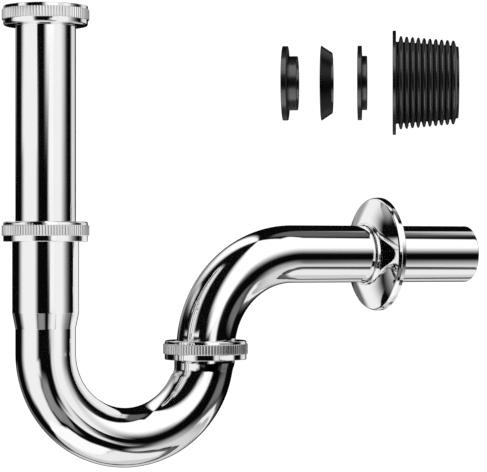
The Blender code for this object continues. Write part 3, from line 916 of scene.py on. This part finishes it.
def build_world():
    """Mirror rays see the softboxes on black, and every other ray sees plain white."""
    world = bpy.data.worlds.new("studio")
    bpy.context.scene.world = world
    world.use_nodes = True
    nodes = Nodes(world.node_tree)
    sky = nodes.add("TexCoord").outputs["Generated"]
    x, y, z = nodes.add("SeparateXYZ", Vector=sky).outputs
    bearing = nodes.math("DEGREES", nodes.math("ARCTAN2", x, nodes.math("MULTIPLY", y, -1.0)))
    rise = nodes.math("DEGREES", nodes.math("ARCSINE", z))
    waves = nodes.add("TexNoise", Vector=sky, Scale=WAVE_SCALE, Detail=1.0).outputs["Color"]
    waves = nodes.add("SeparateXYZ", Vector=waves).outputs
    depth = nodes.step(rise, *WAVE_START)
    shift, lift = (nodes.math("MULTIPLY", nodes.math("SUBTRACT", waves[k], 0.5), depth) for k in (X, Y))
    bearing = nodes.math("ADD", bearing, nodes.math("MULTIPLY", shift, WAVE_SHIFT))
    rise = nodes.math("ADD", rise, nodes.math("MULTIPLY", lift, WAVE_LIFT))
    light = UNLIT
    for softbox in SOFTBOXES.values():
        lit = nodes.math("MULTIPLY", softbox_mask(nodes, bearing, rise, softbox), softbox[-1] ** GAMMA)
        light = nodes.math("MAXIMUM", lit, light)
    light = nodes.math("MULTIPLY", light, GAIN)
    glossy = nodes.add("LightPath").outputs["Is Glossy Ray"]
    nodes.join(nodes.mix(glossy, grey(WHITE), light), world.node_tree.nodes["Background"].inputs["Color"])


def card(name, start, end, tall, fades, seen=(), level=0.93):
    """A flat upright light on the line start-end, seen only in reflections and only from its right-hand side.

    Each fade (axis, dark, bright) dims it along an axis; `seen` does so by the ray's share of that axis.
    """
    mesh = bpy.data.meshes.new(name)
    corners = [start, end, (*end[:2], end[2] + tall), (*start[:2], start[2] + tall)]
    mesh.from_pydata(corners, [], [(0, 1, 2, 3)])
    obj = bpy.data.objects.new(name, mesh)
    bpy.context.scene.collection.objects.link(obj)
    for ray in ("camera", "diffuse", "transmission", "volume_scatter", "shadow"):
        setattr(obj, "visible_" + ray, False)
    material, nodes, _ = new_material(name)
    place = nodes.add("SeparateXYZ", Vector=nodes.add("TexCoord").outputs["Object"]).outputs
    geometry = nodes.add("NewGeometry").outputs
    ray = nodes.add("SeparateXYZ", Vector=geometry["Incoming"]).outputs
    edges = [nodes.math("SUBTRACT", 1.0, geometry["Backfacing"])]
    edges += [nodes.step(place[axis], dark, bright) for axis, dark, bright in fades]
    edges += [nodes.step(ray[axis], dark, bright) for axis, dark, bright in seen]
    clear = nodes.add("BsdfTransparent").outputs[0]
    nodes.show(nodes.product(edges), clear, level ** GAMMA * GAIN)
    mesh.materials.append(material)


def build_cards():
    """Cards that are nearer than the softboxes, each for the reflections in one part of the trap."""
    inlet, joint, wall = main_axes()

    # Beside the inlet's leg: a strip in front of the trap, and one between its legs.
    x = inlet.x + 0.05
    card("right_strip", (x, -0.026, 0.015), (x, -0.25, 0.015), 0.255, [(Y, -0.026, -0.082)])
    fades = [(Y, -0.018, -0.006), (Y, 0.034, 0.018), (Z, 0.14, 0.115)]
    card("inner_strip", (x, 0.034, 0.045), (x, -0.018, 0.045), 0.095, fades, level=0.92)

    # Farther off to the left, for the inlet tube's upper part.
    x = inlet.x - 1.0
    fades = [(Y, 0.81, 0.23), (Z, 0.205, 0.235)]
    card("left_high", (x, -0.78, 0.21), (x, 0.81, 0.21), 0.16, fades, [(Z, -0.2, -0.14)])

    # A strip for the lower nut's rim, and a black flag for the skirt under it.
    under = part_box("lower_nut")[0].z
    x = joint.x + 0.05
    start, end = (x, -0.022, under - 0.0018), (x, -0.2, under - 0.0105)
    card("nut_strip", start, end, 0.004, [(Y, -0.022, -0.05)], [(Z, 0.0, 0.03), (X, -0.93, -0.84)])
    left, right = joint.x - 0.010, joint.x + 0.014
    start, end = (right, -0.032, under - 0.012), (left, -0.032, under - 0.012)
    fades = [(X, left, left + 0.004), (X, right, right - 0.004)]
    card("nut_flag", start, end, 0.0115, fades, [(Z, 0.02, 0.04)], level=0.0)

    # A card behind the rosette, and a black flag in front of the wall tube.
    left, low = wall.x - 0.185, wall.z - 0.1
    fades = [(X, left, left + 0.12)]
    card("rosette_card", (left, 0.12, low), (wall.x, 0.12, low), 0.2, fades, [(X, 0.12, 0.3)])
    x, low = wall.x - 0.045, wall.z - 0.05
    card("wall_flag", (x, -0.12, low), (x, -0.018, low), 0.1, [(Y, -0.2, -0.19)], level=0.0)


def build_row_lamps(pieces):
    """Two long lamps in front of the loose row, one above and one below, that light nothing else."""
    _, ahead, _ = view_directions()
    receivers = bpy.data.collections.new("lamp_receivers")
    for piece in pieces:
        receivers.objects.link(piece)
    middle = sum((piece.matrix_world.translation for piece in pieces), Vector()) / len(pieces)
    for name, rise in (("row_lamp_high", LAMP_RISE), ("row_lamp_low", -LAMP_RISE)):
        data = bpy.data.lights.new(name, "AREA")
        data.shape = "RECTANGLE"
        data.size, data.size_y = LAMP_SIZE
        data.energy = LAMP_POWER
        lamp = bpy.data.objects.new(name, data)
        bpy.context.scene.collection.objects.link(lamp)
        away = (UP_AXIS * math.sin(rise) - ahead * math.cos(rise)) * LAMP_DISTANCE
        lamp.location = middle + away
        lamp.rotation_euler = away.to_track_quat("Z", "Y").to_euler()
        lamp.visible_camera = False
        lamp.light_linking.receiver_collection = receivers


CHROME = make_chrome()
BRASS = make_brass()
RUBBER = make_rubber()
NYLON = make_nylon()

build_inlet()
build_nuts()
build_slip_rings()
build_thread_rings()
build_u_bend()
build_outlet_bend()
build_rosette()
build_rubber()
build_row_lamps(lay_out_row(loose_meshes()))
build_floor()
build_world()
build_cards()
build_camera()
bpy.context.scene.view_settings.view_transform = "Standard"
